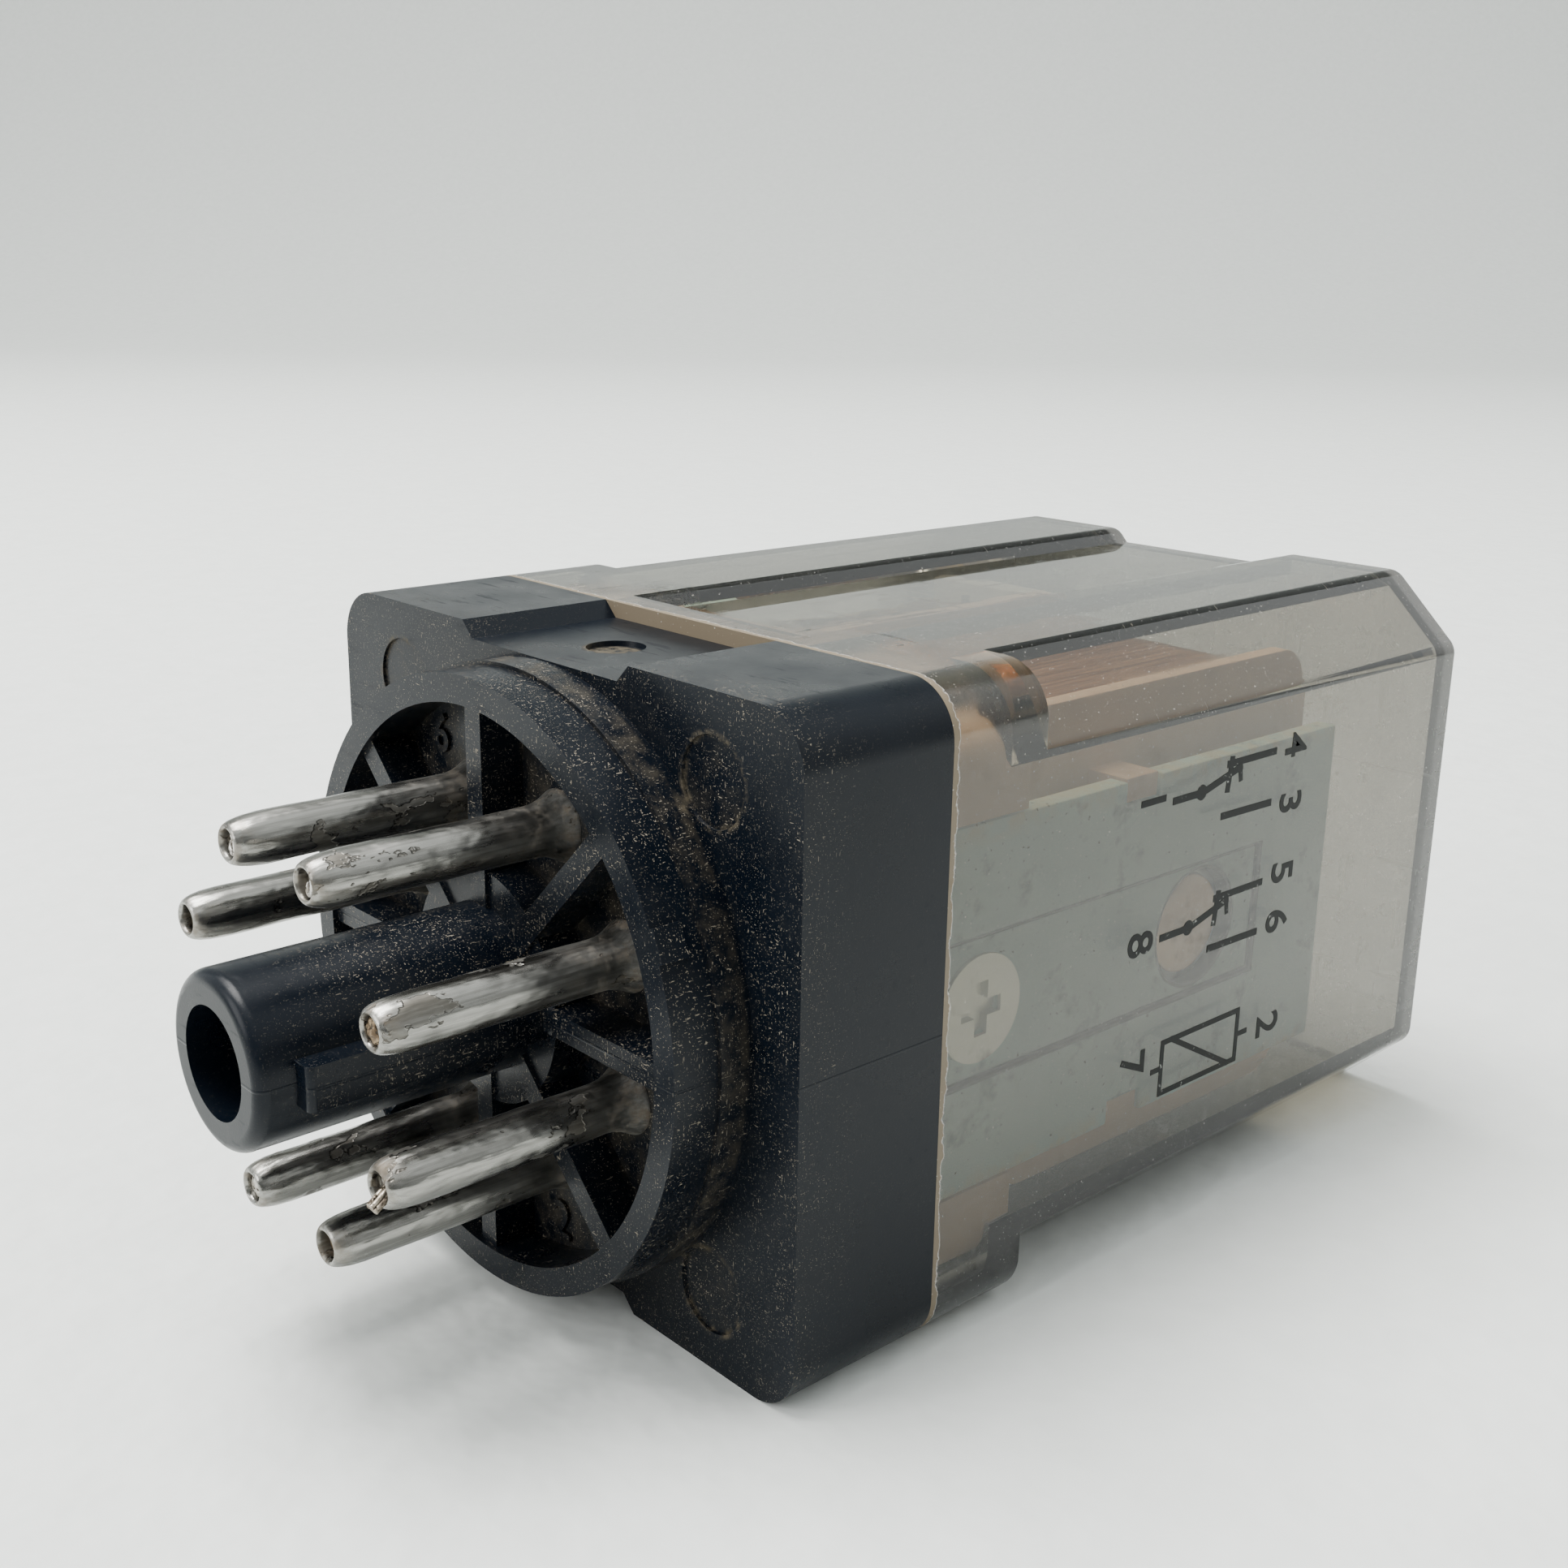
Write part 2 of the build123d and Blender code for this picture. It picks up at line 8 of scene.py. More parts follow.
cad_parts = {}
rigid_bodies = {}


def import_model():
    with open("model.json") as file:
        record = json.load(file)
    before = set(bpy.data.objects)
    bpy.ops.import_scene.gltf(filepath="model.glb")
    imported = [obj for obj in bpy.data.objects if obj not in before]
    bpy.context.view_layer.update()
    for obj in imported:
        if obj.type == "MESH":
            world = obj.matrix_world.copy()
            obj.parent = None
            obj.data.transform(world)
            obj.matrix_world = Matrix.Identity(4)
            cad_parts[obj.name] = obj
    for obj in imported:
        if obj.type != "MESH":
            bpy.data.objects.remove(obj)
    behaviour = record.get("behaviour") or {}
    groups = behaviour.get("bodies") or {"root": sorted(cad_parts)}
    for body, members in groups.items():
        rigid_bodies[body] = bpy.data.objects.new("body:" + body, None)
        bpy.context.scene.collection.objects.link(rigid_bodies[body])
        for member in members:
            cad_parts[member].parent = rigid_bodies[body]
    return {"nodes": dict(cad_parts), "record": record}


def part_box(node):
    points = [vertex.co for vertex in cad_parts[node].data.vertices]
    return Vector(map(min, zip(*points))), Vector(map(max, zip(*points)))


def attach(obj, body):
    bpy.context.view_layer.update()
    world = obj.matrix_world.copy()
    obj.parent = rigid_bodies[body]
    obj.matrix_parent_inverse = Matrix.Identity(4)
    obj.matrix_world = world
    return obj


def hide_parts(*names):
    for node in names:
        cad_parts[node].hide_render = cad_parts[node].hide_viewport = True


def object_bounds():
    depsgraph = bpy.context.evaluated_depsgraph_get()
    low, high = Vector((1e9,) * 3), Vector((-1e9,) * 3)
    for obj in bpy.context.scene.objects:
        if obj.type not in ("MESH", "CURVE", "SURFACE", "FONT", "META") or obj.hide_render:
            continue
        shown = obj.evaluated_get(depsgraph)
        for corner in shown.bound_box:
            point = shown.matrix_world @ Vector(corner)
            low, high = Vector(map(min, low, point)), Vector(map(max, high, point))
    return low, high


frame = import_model()
cad_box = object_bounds()
MM = 0.001

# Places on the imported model, in millimetres, that finishes and visible pieces are lined up with.
COLLAR_START, COLLAR_END = 2.3, 3.75    # along X from the ring face
BLOCK_FRONT = 4.0
POCKET_FLOOR = 2.5
EJECTOR_R = 2.0
EJECTOR_INSET_Y, EJECTOR_INSET_Z = 5.5, 3.85
GATE_X = 8.0
GATE_R = 1.2
SKIRT_END = 6.0                         # along X from the seam
STRIP_HALF = 3.45
STRIP_END_ROOM = 16.7                   # sunk strip's end to the cover's far end
WINDOW_RIM_R = 3.05
WINDING_CORNER = 5.0
PIN_BORE_R = 0.88


# ---- helpers ----------------------------------------------------------------------------------
def vec_mm(x, y, z):
    return Vector((x, y, z)) * MM


def link(obj):
    bpy.context.scene.collection.objects.link(obj)
    return obj


class Finish:
    """A node material being put together."""

    def __init__(self, name):
        self.mat = bpy.data.materials.new(name)
        self.mat.use_nodes = True
        self.tree = self.mat.node_tree
        self.surface = self.tree.nodes["Principled BSDF"]
        self.spot = self.add("ShaderNodeTexCoord").outputs["Object"]

    def add(self, kind, values=None, **settings):
        node = self.tree.nodes.new(kind)
        for key, value in settings.items():
            setattr(node, key, value)
        for key, value in (values or {}).items():
            self.put(node.inputs[key], value)
        return node

    def put(self, socket, value):
        if isinstance(value, bpy.types.NodeSocket):
            self.tree.links.new(value, socket)
        else:
            socket.default_value = value

    def set(self, **values):
        for key, value in values.items():
            self.put(self.surface.inputs[key.replace("_", " ")], value)

    def stretched(self, x=1.0, y=1.0, z=1.0):
        return self.add("ShaderNodeMapping", {"Vector": self.spot, "Scale": (x, y, z)}).outputs[0]

    def grain(self, per_mm, detail=3.0, rough=0.55, where=None):
        """Noise with that many patches to the millimetre."""
        return self.add("ShaderNodeTexNoise", {"Vector": where or self.spot, "Scale": per_mm / MM,
                        "Detail": detail, "Roughness": rough}).outputs["Fac"]

    def between(self, fac, low, high, out_low=0.0, out_high=1.0):
        return self.add("ShaderNodeMapRange", {"Value": fac, "From Min": low, "From Max": high,
                        "To Min": out_low, "To Max": out_high}, clamp=True).outputs[0]

    def times(self, a, b):
        return self.add("ShaderNodeMath", {0: a, 1: b}, operation="MULTIPLY").outputs[0]

    def plus(self, a, b):
        return self.add("ShaderNodeMath", {0: a, 1: b}, operation="ADD", use_clamp=True).outputs[0]

    def coat(self, fac, under, over):
        """Colour over laid on colour under where fac is 1."""
        node = self.add("ShaderNodeMix", data_type="RGBA")
        self.put(node.inputs["Factor"], fac)
        self.put(node.inputs[6], under)
        self.put(node.inputs[7], over)
        return node.outputs[2]

    def maths(self, operation, a, b=0.0):
        return self.add("ShaderNodeMath", {0: a, 1: b}, operation=operation).outputs[0]

    def part_of(self, axis):
        """One coordinate in millimetres."""
        split = self.add("ShaderNodeSeparateXYZ", {"Vector": self.spot})
        return self.times(split.outputs[axis], 1 / MM)

    def from_line(self, axis_a, a, axis_b, b):
        """Distance in millimetres from the line where axis_a is a and axis_b is b."""
        da = self.maths("SUBTRACT", axis_a, a)
        db = self.maths("SUBTRACT", axis_b, b)
        return self.maths("SQRT", self.plus_free(self.times(da, da), self.times(db, db)))

    def plus_free(self, a, b):
        return self.maths("ADD", a, b)

    def near(self, value, target, half, soft):
        """1 where value is within half of target, fading over soft."""
        return self.between(self.maths("ABSOLUTE", self.maths("SUBTRACT", value, target)), half + soft, half)

    def fluff(self, per_mm=12.0, low=0.675, high=0.72):
        """Dust: fine specks and short fibres lying in three directions."""
        specks = self.between(self.grain(per_mm, 1.0), low, high)
        lying = [self.between(self.grain(per_mm, 1.0, 0.5, self.stretched(*run)), low + 0.03, high + 0.03)
                 for run in ((0.22, 1.0, 1.0), (1.0, 0.22, 1.0), (1.0, 1.0, 0.22))]
        return self.plus(specks, self.plus(lying[0], self.plus(lying[1], lying[2])))

    def bumped(self, height, depth_mm, strength=1.0, under=None):
        values = {"Height": height, "Distance": depth_mm * MM, "Strength": strength}
        if under is not None:
            values["Normal"] = under
        return self.add("ShaderNodeBump", values).outputs[0]


def rgb(r, g, b):
    return (r, g, b, 1.0)


# ---- stage, light and camera ------------------------------------------------------------------
def pale_floor():
    f = Finish("pale_cloth_floor")
    weave = f.grain(0.35, 2.0)
    f.set(Base_Color=f.coat(weave, rgb(0.62, 0.64, 0.62), rgb(0.70, 0.72, 0.70)), Roughness=0.85)
    f.set(Normal=f.bumped(weave, 0.5, 0.5))
    return f.mat


def set_stage():
    """Floor that bends up into a plain wall behind the object."""
    ground = cad_box[0].z
    size, back, bend, wall_height, steps = 1.6, 0.75, 0.45, 1.8, 12
    mesh = bpy.data.meshes.new("floor")
    profile = [(-size, ground), (back, ground)]
    for k in range(1, steps + 1):
        a = k / steps * math.pi / 2
        profile.append((back + bend * math.sin(a), ground + bend * (1 - math.cos(a))))
    profile.append((back + bend, ground + wall_height))
    turn = Matrix.Rotation(math.radians(-42.0), 3, "Z")
    verts = []
    for run, z in profile:
        for side in (-size, size):
            p = turn @ Vector((side, run, 0))
            verts.append((p.x, p.y, z))
    faces = [(2 * k, 2 * k + 1, 2 * k + 3, 2 * k + 2) for k in range(len(profile) - 1)]
    mesh.from_pydata(verts, [], faces)
    mesh.polygons.foreach_set("use_smooth", [True] * len(faces))
    mesh.materials.append(pale_floor())
    link(bpy.data.objects.new("floor", mesh))


def soft_box(name, place, aim, size, power, tint=(1.0, 1.0, 1.0)):
    data = bpy.data.lights.new(name, "AREA")
    data.shape, data.size, data.energy, data.color = "DISK", size, power, tint
    lamp = link(bpy.data.objects.new(name, data))
    lamp.location = place
    lamp.rotation_euler = (Vector(aim) - Vector(place)).to_track_quat("-Z", "Y").to_euler()


def set_light():
    """Soft daylight from above and behind, with the room dimmer on the camera's side."""
    world = bpy.data.worlds.new("studio")
    bpy.context.scene.world = world
    world.use_nodes = True
    nodes, links = world.node_tree.nodes, world.node_tree.links
    sky = nodes["Background"]
    facing = nodes.new("ShaderNodeVectorMath")
    facing.operation = "DOT_PRODUCT"
    facing.inputs[1].default_value = (0.42, 0.46, 0.78)
    links.new(nodes.new("ShaderNodeTexCoord").outputs["Generated"], facing.inputs[0])
    level = nodes.new("ShaderNodeMapRange")
    level.inputs["From Min"].default_value, level.inputs["From Max"].default_value = -0.45, 0.55
    level.inputs["To Min"].default_value, level.inputs["To Max"].default_value = 0.20, 1.80
    links.new(facing.outputs["Value"], level.inputs["Value"])
    links.new(level.outputs[0], sky.inputs["Strength"])
    sky.inputs["Color"].default_value = rgb(0.92, 0.96, 0.95)
    middle = (cad_box[0] + cad_box[1]) / 2
    soft_box("top_light", middle + Vector((-0.10, 0.22, 0.75)), middle, 0.55, 17.0, (1.0, 0.99, 0.97))
    soft_box("left_light", middle + Vector((-0.7, 0.15, 0.35)), middle, 0.5, 4.0)


def set_camera():
    eye = vec_mm(-42.3, -67.3, 32.7)
    heading, drop, roll = math.radians(-42.245), math.radians(-16.26), math.radians(0.875)
    data = bpy.data.cameras.new("camera")
    data.lens, data.sensor_width = 42.43, 36.0
    data.clip_start, data.clip_end = 0.005, 20.0
    camera = link(bpy.data.objects.new("camera", data))
    camera.matrix_world = (Matrix.Translation(eye) @ Matrix.Rotation(heading, 4, "Z")
                           @ Matrix.Rotation(math.pi / 2 + drop, 4, "X") @ Matrix.Rotation(roll, 4, "Z"))
    bpy.context.scene.camera = camera


# ---- finishes ---------------------------------------------------------------------------------
def black_moulding():
    """Blue-black phenolic with brown dust in the boss and dirt in the ejector and gate marks."""
    f = Finish("black_moulding")
    cloud, fine = f.grain(0.25, 4.0), f.grain(9.0, 2.0)
    x, y, z = f.part_of("X"), f.part_of("Y"), f.part_of("Z")
    patch = f.between(f.grain(0.35, 3.0, 0.6), 0.42, 0.62)
    boss = f.between(x, 7.5, 3.2, 0.06, 1.0)
    off_tip = f.between(x, -11.5, -6.0, 0.08, 1.0)
    dust = f.times(f.times(f.fluff(), f.between(patch, 0.0, 1.0, 0.35, 1.0)), f.times(boss, off_tip))
    film = f.times(f.between(f.grain(0.8, 5.0, 0.65), 0.50, 0.76, 0.0, 0.045), f.times(boss, off_tip))
    low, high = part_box("base")
    ring_face, high = low.x / MM, high / MM
    collar_middle = (ring_face + COLLAR_START + ring_face + COLLAR_END) / 2
    band = f.times(f.near(x, collar_middle, 0.62, 0.2),
                   f.between(f.grain(0.9, 5.0, 0.7), 0.42, 0.66, 0.0, 0.30))
    mark = f.from_line(f.maths("ABSOLUTE", y), high.y - EJECTOR_INSET_Y,
                       f.maths("ABSOLUTE", z), high.z - EJECTOR_INSET_Z)
    dirt = f.times(f.plus(f.near(mark, EJECTOR_R, 0.06, 0.20),
                          f.between(mark, EJECTOR_R, EJECTOR_R - 0.2, 0.0, 0.14)),
                   f.times(f.between(f.grain(1.1, 5.0, 0.7), 0.46, 0.64, 0.0, 0.8),
                           f.near(x, BLOCK_FRONT, 0.5, 0.2)))
    gate = f.times(f.between(f.from_line(x, GATE_X, y, 0.0), GATE_R + 0.3, GATE_R),
                   f.between(f.grain(1.6, 5.0, 0.7), 0.36, 0.56, 0.0, 0.8))
    gate = f.times(gate, f.between(z, high.z - 1.6, high.z - 1.2))
    brown = f.plus(f.plus(band, dirt), gate)
    shade = f.coat(cloud, rgb(0.0008, 0.0019, 0.0040), rgb(0.0020, 0.0042, 0.0080))
    shade = f.coat(brown, shade, rgb(0.080, 0.066, 0.044))
    shade = f.coat(film, shade, rgb(0.09, 0.080, 0.062))
    f.set(Base_Color=f.coat(dust, shade, rgb(0.23, 0.20, 0.155)))
    wear = f.between(f.grain(2.2, 4.0, 0.6, f.stretched(1.0, 0.15, 1.0)), 0.60, 0.68, 0.0, 0.12)
    rough = f.plus(f.between(cloud, 0.3, 0.7, 0.24, 0.36), f.times(f.plus(dust, brown), 0.5))
    f.set(Roughness=f.plus(rough, f.plus(wear, film)))
    parting = f.near(z, 0.0, 0.03, 0.05)
    height = f.plus_free(f.times(fine, 0.3), f.plus_free(f.times(dust, 0.7), f.times(parting, 1.5)))
    f.set(Normal=f.bumped(height, 0.02, 0.5))
    f.surface.inputs["Specular IOR Level"].default_value = 0.15
    return f.mat


def clear_cover_plastic():
    """Smoky clear plastic, frosted on the end wall and dirty along the seam, that lets lamps through."""
    f = Finish("clear_cover_plastic")
    low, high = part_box("cover")
    x, y, z = f.part_of("X"), f.part_of("Y"), f.part_of("Z")
    start, end, top = low.x / MM, high.x / MM, high.z / MM
    crossing = [f.between(f.grain(1.3, 2.0, 0.5, f.stretched(*run)), 0.67, 0.69)
                for run in ((0.05, 1.0, 1.0), (1.0, 0.06, 1.0), (0.35, 0.9, 0.1))]
    scratches = f.plus(crossing[0], f.plus(crossing[1], crossing[2]))
    specks = f.between(f.grain(8.0, 1.0), 0.735, 0.76)
    end_wall = f.between(x, end - 1.5, end - 1.1)
    seam_edge = f.plus_free(start + 0.12, f.times(f.between(f.grain(0.9, 4.0, 0.7), 0.3, 0.7), 0.34))
    seam = f.between(f.maths("SUBTRACT", x, seam_edge), 0.08, 0.0)
    shoulder = f.times(f.between(x, start + SKIRT_END + 0.1, start + SKIRT_END - 0.4),
                       f.between(f.maths("ABSOLUTE", z), top - 6.5, top - 2.5))
    frost = f.times(shoulder, f.between(f.grain(0.30, 3.0, 0.6), 0.35, 0.65))
    cloudy = f.plus(f.times(frost, 0.20), f.times(end_wall, 0.25))
    rough = f.plus(f.plus(0.012, f.times(scratches, 0.14)), f.plus(f.times(specks, 0.4), cloudy))
    shade = f.coat(seam, rgb(0.99, 0.985, 0.97), rgb(0.17, 0.135, 0.09))
    film = f.times(f.between(x, end - 13.0, end - 9.0), f.between(y, 8.0, 13.0))
    film = f.times(f.plus(film, f.times(end_wall, 0.6)),
                   f.between(f.grain(0.35, 3.0, 0.6), 0.3, 0.7, 0.75, 1.0))
    shade = f.coat(film, shade, rgb(0.30, 0.29, 0.255))
    f.set(Base_Color=f.coat(specks, shade, rgb(0.55, 0.53, 0.48)),
          Roughness=f.plus(rough, f.times(seam, 0.5)), IOR=1.52)
    blocked = f.plus(f.times(seam, 0.85), f.plus(f.times(specks, 0.5), f.times(end_wall, 0.10)))
    f.set(Transmission_Weight=f.between(blocked, 0.0, 1.0, 1.0, 0.0))
    ripple = f.plus_free(f.grain(0.22, 1.0), f.times(scratches, 0.012))
    f.set(Normal=f.bumped(ripple, 0.10, 0.10))
    volume = f.add("ShaderNodeVolumeAbsorption")
    volume.inputs["Color"].default_value = rgb(0.53, 0.51, 0.455)
    volume.inputs["Density"].default_value = 1050.0
    out = f.tree.nodes["Material Output"]
    f.tree.links.new(volume.outputs[0], out.inputs["Volume"])
    lamp_rays = f.add("ShaderNodeLightPath").outputs["Is Shadow Ray"]
    through = f.add("ShaderNodeBsdfTransparent", {"Color": rgb(0.80, 0.79, 0.75)})
    mixed = f.add("ShaderNodeMixShader", {0: lamp_rays, 1: f.surface.outputs[0], 2: through.outputs[0]})
    f.tree.links.new(mixed.outputs[0], out.inputs["Surface"])
    f.surface.inputs["Specular IOR Level"].default_value = 0.25
    return f.mat


def tinned_tube():
    """Dull tinned brass: drawn lines, etched grey patches, a dull grey-brown root and tip."""
    f = Finish("tinned_tube")
    along = f.part_of("X")
    streak = f.grain(1.4, 5.0, 0.65, f.stretched(0.10, 1.0, 1.0))
    drawn = f.grain(7.0, 2.0, 0.5, f.stretched(0.02, 1.0, 1.0))
    lumps = f.grain(0.55, 3.0, 0.6, f.stretched(0.45, 1.0, 1.0))
    eaten = f.grain(0.62, 4.0, 0.6, f.stretched(0.6, 1.0, 1.0))
    patches = f.between(eaten, 0.605, 0.625)
    rims = f.times(f.near(eaten, 0.608, 0.003, 0.007), 0.8)
    root = f.between(along, -1.8, 2.3)
    tip = f.between(along, -8.9, -9.75)
    rust = f.times(f.plus(f.times(root, 0.75), f.times(tip, 0.45)),
                   f.between(f.grain(1.1, 5.0, 0.7), 0.44, 0.62))
    shade = f.coat(streak, rgb(0.21, 0.205, 0.19), rgb(0.34, 0.335, 0.315))
    shade = f.coat(f.between(drawn, 0.42, 0.60, 0.0, 0.4), shade, rgb(0.12, 0.116, 0.106))
    shade = f.coat(f.times(patches, f.between(streak, 0.40, 0.55, 0.35, 0.85)), shade,
                   rgb(0.085, 0.078, 0.066))
    shade = f.coat(rims, shade, rgb(0.030, 0.026, 0.022))
    f.set(Base_Color=f.coat(rust, shade, rgb(0.165, 0.128, 0.088)),
          Metallic=f.between(rust, 0.3, 1.0, 1.0, 0.35))
    rough = f.plus(f.between(streak, 0.3, 0.7, 0.17, 0.36),
                   f.times(f.plus(rust, f.times(patches, 0.55)), 0.4))
    f.set(Roughness=f.plus(rough, f.times(root, 0.24)))
    height = f.plus_free(f.times(lumps, 2.2), f.plus_free(f.times(drawn, 0.12), f.times(patches, -0.25)))
    f.set(Normal=f.bumped(height, 0.10, 0.8))
    return f.mat


def solder_finish(name, bright, dull, metallic, low=0.4, high=0.6):
    """Lumpy metal with dark pores."""
    f = Finish(name)
    lump, pore = f.grain(2.5, 4.0), f.between(f.grain(4.5, 2.0), 0.55, 0.62)
    shade = f.coat(f.between(lump, low, high), dull, bright)
    f.set(Base_Color=f.coat(pore, shade, rgb(0.04, 0.03, 0.02)), Metallic=metallic,
          Roughness=f.between(lump, 0.3, 0.7, 0.55, 0.3),
          Normal=f.bumped(f.plus_free(lump, f.times(pore, -1.0)), 0.08, 0.8))
    return f.mat


def lets_light_in(f, weight):
    f.surface.inputs["Subsurface Weight"].default_value = weight
    f.surface.inputs["Subsurface Radius"].default_value = (0.0008, 0.001, 0.0009)
    f.surface.inputs["Subsurface Scale"].default_value = 1.0


def moulded(name, light, dark, roughness, through):
    """Opaque moulded plastic, cloudy and stained."""
    f = Finish(name)
    cloud, fine = f.grain(0.3, 4.0), f.grain(6.0, 3.0)
    stain = f.between(f.grain(0.22, 5.0, 0.6), 0.55, 0.75, 0.0, 0.5)
    f.set(Base_Color=f.coat(stain, f.coat(cloud, light, dark), tuple(0.55 * c for c in dark[:3]) + (1.0,)))
    f.set(Roughness=f.between(cloud, 0.3, 0.7, roughness - 0.08, roughness + 0.08),
          Normal=f.bumped(fine, 0.02, 0.3))
    lets_light_in(f, through)
    return f.mat


def panel_moulding():
    """Mint plastic with grey smudges, partly dirt and partly painted shadow of the print, and painted shade:
    dark lines where the cover's sunk strip's sides stand in front of it and a dark ring round the window.
    """
    f = Finish("panel_moulding")
    x, z = f.part_of("X"), f.part_of("Z")
    cloud, fine = f.grain(0.3, 4.0), f.grain(6.0, 3.0)
    strip_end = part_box("cover")[1].x / MM - STRIP_END_ROOM
    # Painted shade: dark lines on the panel along the sides and across the end of the cover's sunk strip,
    # standing in for the shade that the strip's walls in front of the panel throw.
    sides = f.times(f.near(f.maths("ABSOLUTE", z), STRIP_HALF, 0.10, 0.10),
                    f.between(x, strip_end + 0.15, strip_end + 0.05))
    painted_strip_end_shade = f.times(f.near(x, strip_end, 0.10, 0.10),
                     f.between(f.maths("ABSOLUTE", z), STRIP_HALF + 0.15, STRIP_HALF + 0.05))
    # Grey smudges: partly dirt, partly painted shadow standing in for the print's shadows on the panel.
    smudge_and_print_shadow = f.between(f.grain(0.42, 5.0, 0.68), 0.56, 0.70, 0.0, 0.65)
    crumbs = f.between(f.grain(3.6, 2.0), 0.67, 0.72, 0.0, 0.7)
    shade = f.coat(cloud, rgb(0.47, 0.62, 0.56), rgb(0.38, 0.53, 0.48))
    shade = f.coat(smudge_and_print_shadow, shade, rgb(0.13, 0.19, 0.175))
    edge = f.times(f.between(f.maths("ABSOLUTE", z), 7.6, 8.7),
                   f.between(f.grain(0.7, 4.0), 0.40, 0.60, 0.0, 0.75))
    shade = f.coat(edge, shade, rgb(0.55, 0.52, 0.34))
    # Painted shade: a dark ring round the window's rim, standing in for the shade on the hole's wall.
    core_low, core_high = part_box("core")
    ring = f.from_line(x, (core_low.x + core_high.x) / 2 / MM, z, (core_low.z + core_high.z) / 2 / MM)
    shade = f.coat(f.near(ring, WINDOW_RIM_R, 0.12, 0.12), shade, rgb(0.07, 0.075, 0.065))
    shade = f.coat(crumbs, shade, rgb(0.10, 0.10, 0.085))
    f.set(Base_Color=f.coat(f.plus(sides, painted_strip_end_shade), shade, rgb(0.028, 0.036, 0.034)))
    f.set(Roughness=f.between(cloud, 0.3, 0.7, 0.38, 0.52), Normal=f.bumped(fine, 0.02, 0.3))
    lets_light_in(f, 0.15)
    return f.mat


def metal(name, light, dark, roughness):
    """Rolled metal with streaks along X and darker spots."""
    f = Finish(name)
    streak = f.grain(1.6, 4.0, 0.6, f.stretched(0.1, 1.0, 1.0))
    spots = f.between(f.grain(0.7, 4.0), 0.58, 0.72, 0.0, 0.6)
    f.set(Base_Color=f.coat(spots, f.coat(streak, dark, light), tuple(0.5 * c for c in dark[:3]) + (1.0,)),
          Metallic=1.0, Roughness=f.between(streak, 0.3, 0.7, roughness - 0.08, roughness + 0.12),
          Normal=f.bumped(streak, 0.02, 0.4))
    return f.mat


def enamelled_wire():
    """Copper wire under clear enamel, its shade changing from turn to turn."""
    f = Finish("enamelled_wire")
    turn = f.grain(4.0, 2.0, 0.5, f.stretched(0.03, 1.0, 0.03))
    f.set(Base_Color=f.coat(f.between(turn, 0.35, 0.65), rgb(0.55, 0.22, 0.08), rgb(0.97, 0.56, 0.27)),
          Metallic=0.9, Roughness=0.24)
    f.surface.inputs["Coat Weight"].default_value = 0.6
    f.surface.inputs["Coat Roughness"].default_value = 0.15
    return f.mat


def print_ink():
    """Matt black print, worn through in places."""
    f = Finish("print_ink")
    worn = f.between(f.grain(3.0, 4.0, 0.7), 0.64, 0.70)
    f.set(Base_Color=f.coat(worn, rgb(0.006, 0.007, 0.007), rgb(0.30, 0.31, 0.29)), Roughness=0.5,
          Normal=f.bumped(worn, 0.01, 0.4))
    f.surface.inputs["Specular IOR Level"].default_value = 0.12
    return f.mat


# ---- making pieces ----------------------------------------------------------------------------
def smooth(mesh, angle):
    """Smooth shading, with edges sharper than angle left sharp."""
    mesh.polygons.foreach_set("use_smooth", [True] * len(mesh.polygons))
    bm = bmesh.new()
    bm.from_mesh(mesh)
    limit = math.radians(angle)
    for e in bm.edges:
        e.smooth = not (len(e.link_faces) == 2 and e.calc_face_angle(0) > limit)
    bm.to_mesh(mesh)
    bm.free()


def piece(name, mesh, material, body="body", stands_for=()):
    mesh.materials.clear()
    mesh.materials.append(material)
    obj = link(bpy.data.objects.new(name, mesh))
    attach(obj, body)
    if stands_for:
        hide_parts(*stands_for)
    return obj


def merged_copy(node):
    """A CAD node's mesh with its flat faces made whole."""
    bm = bmesh.new()
    bm.from_mesh(frame["nodes"][node].data)
    bmesh.ops.remove_doubles(bm, verts=bm.verts, dist=1e-6)
    bmesh.ops.dissolve_limit(bm, angle_limit=math.radians(0.6), verts=bm.verts, edges=bm.edges)
    return bm


def round_off(bm, edges, radius_mm, segments=2):
    bmesh.ops.bevel(bm, geom=edges, offset=radius_mm * MM, segments=segments, profile=0.5, affect="EDGES",
                    clamp_overlap=True)


def with_even_normals(bm, name, angle=40.0):
    """The mesh with normals weighted to its large faces: flats stay flat beside rounded edges."""
    mesh = bpy.data.meshes.new(name)
    bm.to_mesh(mesh)
    bm.free()
    smooth(mesh, angle)
    obj = link(bpy.data.objects.new(name, mesh))
    mod = obj.modifiers.new("even_normals", "WEIGHTED_NORMAL")
    mod.keep_sharp = True
    bpy.context.view_layer.update()
    done = bpy.data.meshes.new_from_object(obj.evaluated_get(bpy.context.evaluated_depsgraph_get()))
    bpy.data.objects.remove(obj)
    return done


def broken_edges(node, radius_mm):
    """A copy of a CAD node's mesh with its sharp edges rounded."""
    bm = merged_copy(node)
    limit = math.radians(30.0)
    round_off(bm, [e for e in bm.edges if len(e.link_faces) == 2 and e.calc_face_angle(0) > limit], radius_mm)
    return with_even_normals(bm, node + "_rounded")


